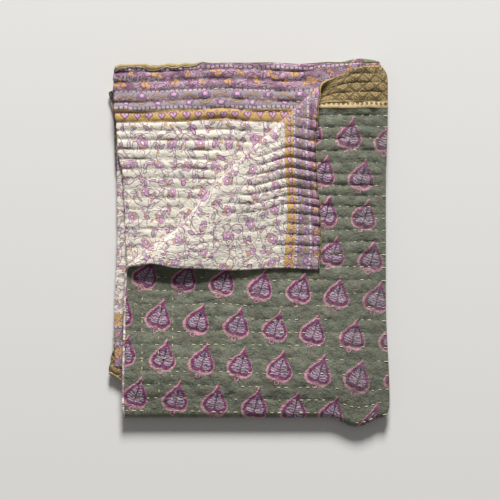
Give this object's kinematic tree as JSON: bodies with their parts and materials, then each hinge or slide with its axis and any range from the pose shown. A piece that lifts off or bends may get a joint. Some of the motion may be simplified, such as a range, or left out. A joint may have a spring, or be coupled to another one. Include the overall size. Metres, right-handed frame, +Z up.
{
  "type": "folded baby blanket",
  "caption": "Small hand-quilted cotton blanket, folded flat, green leaf-printed front, cream printed back showing at a turned-back corner.",
  "frame": {"origin": "middle of the underside, where the folded blanket lies on the surface", "axes": "+Z up, off the surface; +Y along the length, towards the end with the turned-back corner; +X across, towards the side fold"},
  "size_m": [0.3182, 0.4176, 0.0354],
  "materials": {
    "green_cotton": "soft washed cotton, matt",
    "cream_cotton": "soft washed cotton, matt"
  },
  "bodies": {
    "root": {"front_cloth": "green_cotton", "back_cloth": "cream_cotton"}
  },
  "joints": []
}
